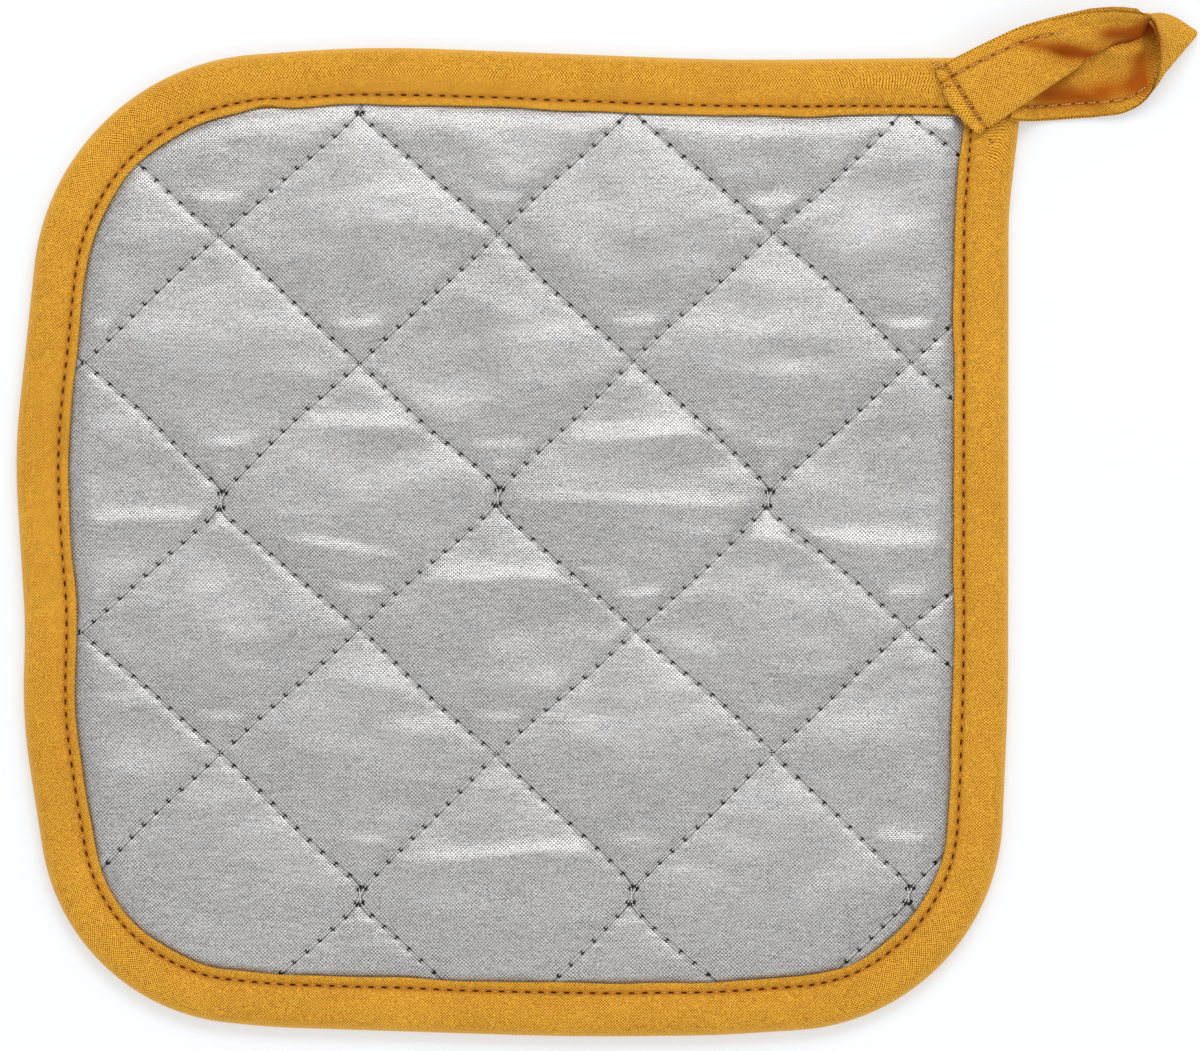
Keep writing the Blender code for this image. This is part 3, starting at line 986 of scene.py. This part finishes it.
def loop_thread(tape, material):
    """The top stitching along the loop's open edge, on both sides."""
    ends, ups = [], []
    even = np.arange(LOOP_STITCH, tape.travel[-1] - 1.0, LOOP_STITCH)
    sunk = tape.half[:, SEAM_COLUMN, None] - THREAD_SINK
    for side in (1, -1):
        normals = side * tape.normals[:, SEAM_COLUMN]
        surface = tape.places[:, SEAM_COLUMN] + normals * sunk
        spots, away = placed(even, tape.travel, surface), placed(even, tape.travel, normals)
        for k in range(len(spots) - 1):
            if not TUCKED[0] < even[k] < TUCKED[1]:
                ends.append((spots[k], spots[k + 1]))
                ups.append(away[k] + away[k + 1])
    return stitch_pieces("loop_stitches", ends, ups, LOOP_THREAD, material)


def end_thread(tape, material):
    """The seam across the loop's sewn end, and its loose threads."""
    row = int(np.argmin(np.abs(tape.travel - END_SEAM)))
    surface = tape.places[row] + tape.normals[row] * (tape.half[row, :, None] - THREAD_SINK)
    even = np.arange(0, tape.width[row], END_STITCH)
    spots = placed(even, tape.across[row], surface)
    ends = list(zip(spots, spots[1:])) + [(np.array(a), np.array(b)) for a, b in LOOSE_ENDS]
    ups = [np.array([0, 0, 1.0])] * len(ends)
    return stitch_pieces("end_stitches", ends, ups, END_THREAD, material)


# --- materials
SILVER_THREAD = 0.38  # from one thread of the weave to the next, in mm
COTTON_THREAD = 0.43
BIAS = 0.7071  # a tape's weave is turned by 45 degrees
# Painted shade: the colours of the seams' creases and of the needle holes, where shade falls.
SILVER_SEAM_SHADE, SILVER_HOLE_SHADE = (0.03, 0.03, 0.03, 1), (0.008, 0.008, 0.008, 1)
COTTON_SEAM_SHADE, COTTON_HOLE_SHADE = (0.42, 0.13, 0.006, 1), (0.055, 0.013, 0.002, 1)


def silver_material():
    """Metallised plain weave, with its seams and needle holes, whose shade is painted in."""
    cloth = Cloth("silver_cloth")
    place = cloth.place()
    x, y, _ = cloth.split(place)
    drift = cloth.noise(place, 0.12)
    over, round_threads = cloth.weave(x + drift * 0.9, y + drift * 0.7, SILVER_THREAD)
    weft = cloth.noise(cloth.scaled(place, (0.25, 2.6, 1.0)), 1.0, 1.0)
    speckle = cloth.noise(place, 3.0, 2.0, 0.7)
    patch = cloth.noise(cloth.scaled(place, (0.5, 1.3, 1.0)), 0.5)
    cloud = cloth.noise(cloth.scaled(place, (0.5, 1.0, 1.0)), 0.09, 3.0)
    tone = 0.47 + over * (0.42 + patch * 0.6) + weft * 0.35 + speckle * 1.5 + cloud * 0.15
    warmth = cloth.noise(place, 0.2, 2.0, 0.6) * 2.0 + 0.5
    dark = cloth.blend(warmth, (0.080, 0.080, 0.082, 1), (0.086, 0.082, 0.078, 1))
    light = cloth.blend(warmth, (0.815, 0.818, 0.830, 1), (0.848, 0.828, 0.806, 1))
    base = cloth.blend(tone.clamped(), dark, light)
    cloth.set("Base Color", cloth.quilted(base, 0.64, SILVER_SEAM_SHADE, SILVER_HOLE_SHADE))
    cloth.set("Metallic", 0.75)
    cloth.set("Roughness", 0.33 + speckle * 0.2)
    cloth.bump(round_threads + speckle * 0.8, 0.00005, 0.6)
    return cloth.material


# A seam in a tape: whether it runs along it, where, how wide the painted shade of its crease is,
# its stitches' length, their holes' length, width and how dark their painted shade is, and where
# it is hidden.
Seam = namedtuple("Seam", "along line crease pitch length width dark hidden", defaults=(None,))


def cotton_material(name, seams=(), fold=None, painted_shade=False, quilted=False):
    """Matt mustard cotton; on a tape it is woven on the bias, with seams."""
    cloth = Cloth(name)
    place = cloth.place()
    dark, light = (0.22, 0.060, 0.003, 1), (0.98, 0.51, 0.052, 1)
    if seams:
        u, v = cloth.uv("tape")
        along, across = (u + v) * BIAS, (u - v) * BIAS
    else:
        along, across, _ = cloth.split(place)
    drift = cloth.noise(place, 0.3)
    over, round_threads = cloth.weave(across + drift * 0.6, along + drift * 0.5, COTTON_THREAD)
    slub = cloth.noise(place, 2.4, 2.0, 0.7)
    patch = cloth.noise(place, 0.5)
    cloud = cloth.noise(place, 0.08)
    tone = 0.67 + (round_threads - 0.56) * (1.4 + patch * 2.2) + over * 0.08
    tone = tone + slub * 1.9 + cloud * 0.25
    base = cloth.blend(tone.clamped(), dark, light)
    # Painted shade: the loop's hollows darkened where shade falls.
    if painted_shade:
        base = cloth.blend(cloth.uv("painted_shade")[0] * 0.95, base, (0.41, 0.085, 0.002, 1))
    if quilted:
        base = cloth.quilted(base, 0.6, COTTON_SEAM_SHADE, COTTON_HOLE_SHADE)
    # Painted highlight: the binding made lighter along its outer fold, where the light catches it.
    if fold is not None:
        fold_highlight = 1 - abs(v - fold).rise(0.3, 3.0)
        base = cloth.blend(fold_highlight * 0.5, base, (0.92, 0.53, 0.13, 1))
    for seam in seams:
        run, way = (u, v) if seam.along else (v, u)
        off_line = abs(way - seam.line)
        seen = 1.0
        if seam.hidden:
            start, end = seam.hidden
            seen = 1 - run.rise(start - 4, start) * (1 - run.rise(end, end + 3))
        # Painted shade along the seam's crease and in its needle holes.
        crease = (1 - off_line.rise(0.1, seam.crease)) * seen
        base = cloth.blend(crease * 0.7, base, COTTON_SEAM_SHADE)
        off_hole = (run / seam.pitch).off_whole() * seam.pitch
        holes = cloth.needle_holes(off_line * (1 / seam.width), off_hole * (1 / seam.length), 1.3)
        base = cloth.blend(holes * seen * seam.dark, base, COTTON_HOLE_SHADE)
    cloth.set("Base Color", base)
    cloth.set("Roughness", 0.9 + slub * 0.1)
    cloth.set("Specular IOR Level", 0.15)
    cloth.bump(round_threads + slub * 0.8, 0.00007, 0.9)
    return cloth.material


THREAD_COLOURS = (
    ("grey_thread", (0.40, 0.40, 0.395, 1), (0.90, 0.90, 0.885, 1)),
    ("mustard_thread", (0.42, 0.15, 0.015, 1), (0.82, 0.42, 0.08, 1)),
    ("tan_thread", (0.36, 0.13, 0.02, 1), (0.82, 0.45, 0.15, 1)),
    ("twisted_thread", (0.15, 0.04, 0.004, 1), (0.75, 0.38, 0.08, 1)),
)


def thread_material(name, dark, light):
    """Twisted sewing thread."""
    cloth = Cloth(name)
    along, turn = cloth.uv("thread")
    twist = (along * 9.0 + turn).sine() * 0.5 + 0.5
    fuzz = cloth.noise(cloth.place(), 2.5)
    cloth.set("Base Color", cloth.blend((twist + fuzz).clamped(), dark, light))
    cloth.set("Roughness", 0.8 + fuzz * 0.2)
    cloth.set("Specular IOR Level", 0.2)
    cloth.bump(twist, 0.00004, 0.6)
    return cloth.material


# --- stage (m)
FLOOR_DROP = 0.00005  # keeps the floor just clear of the back
LAMP_SIZE = (0.9, 0.5)
LENS, FILM = 400, 36  # the camera's, in mm
VIEW_WIDTH = 0.2474   # what the camera sees across, at VIEW_LEVEL
VIEW_LEVEL = 0.005
VIEW_MIDDLE = (0.0179, 0.0033)  # from the pad's middle


def make_floor():
    """A plain pale floor, slightly self-lit."""
    bpy.ops.object.select_all(action="DESELECT")
    bpy.ops.mesh.primitive_plane_add(size=6.0, location=(0, 0, -FLOOR_DROP))
    floor = bpy.context.object
    floor.name = "floor"
    paper = Cloth("floor_paper")
    paper.set("Base Color", (0.58, 0.62, 0.66, 1))
    paper.set("Emission Color", (1, 1, 1, 1))
    paper.set("Emission Strength", 0.36)
    paper.set("Roughness", 0.9)
    floor.data.materials.append(paper.material)


def make_light(name, place, power):
    """A soft rectangular light aimed at the pot holder."""
    data = bpy.data.lights.new(name, "AREA")
    data.shape = "RECTANGLE"
    data.size, data.size_y = LAMP_SIZE
    data.energy = power
    light = shown(name, data)
    light.location = place
    light.rotation_euler = (-Vector(place)).to_track_quat("-Z", "Y").to_euler()


def make_stage():
    """The floor, light all round, two lamps and the camera."""
    make_floor()
    world = bpy.data.worlds.new("studio")
    world.use_nodes = True
    sky = world.node_tree.nodes["Background"]
    sky.inputs["Color"].default_value = (1.0, 0.997, 0.99, 1)
    sky.inputs["Strength"].default_value = 0.78
    SCENE.world = world
    make_light("key", (0.14, 0.78, 1.12), 6.6)
    make_light("fill", (-0.10, -0.80, 1.10), 0.9)
    SCENE.view_settings.view_transform = "Standard"
    camera_data = bpy.data.cameras.new("camera")
    camera_data.lens = LENS
    camera_data.sensor_width = FILM
    camera = shown("camera", camera_data)
    x, y = PAD_MIDDLE * MM + VIEW_MIDDLE
    camera.location = (x, y, VIEW_WIDTH * LENS / FILM + VIEW_LEVEL)
    SCENE.camera = camera


# --- whole


def main():
    """Make every piece, attach it to the root body, hide the CAD parts it stands for, and set the
    stage.
    """
    silver = silver_material()
    back = cotton_material("back_cotton", quilted=True)
    binding_seams = [Seam(True, section_travel(point), 1.0, BINDING_LENGTH / BINDING_STITCHES,
                          0.7, 0.25, 1.0) for point in (GROOVE_POINT, BACK_GROOVE_POINT)]
    binding_tape = cotton_material("binding_cotton", binding_seams, section_travel(FOLD_POINT))
    top_seam = Seam(True, LOOP_SEAM, 0.8, LOOP_STITCH, 0.45, 0.22, 0.7, TUCKED)
    cut_seam = Seam(False, END_SEAM, 0.8, END_STITCH, 0.45, 0.3, 1.0)
    loop_tape = cotton_material("loop_cotton", (top_seam, cut_seam), painted_shade=True)
    grey, mustard, tan_brown, twisted = [thread_material(*colours) for colours in THREAD_COLOURS]

    pad, fine = make_pad(silver, back)
    binding = make_binding(binding_tape)
    surface = loop_surface()
    loop = make_loop(surface, loop_tape)
    stitches = (quilting_thread(fine, grey), binding_thread(mustard),
                loop_thread(surface, tan_brown), end_thread(surface, twisted))

    for piece in (pad, binding, loop, *stitches):
        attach(piece, "root")
    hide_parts("quilted_pad")
    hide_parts("edge_binding")
    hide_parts("hanging_loop")
    make_stage()


main()
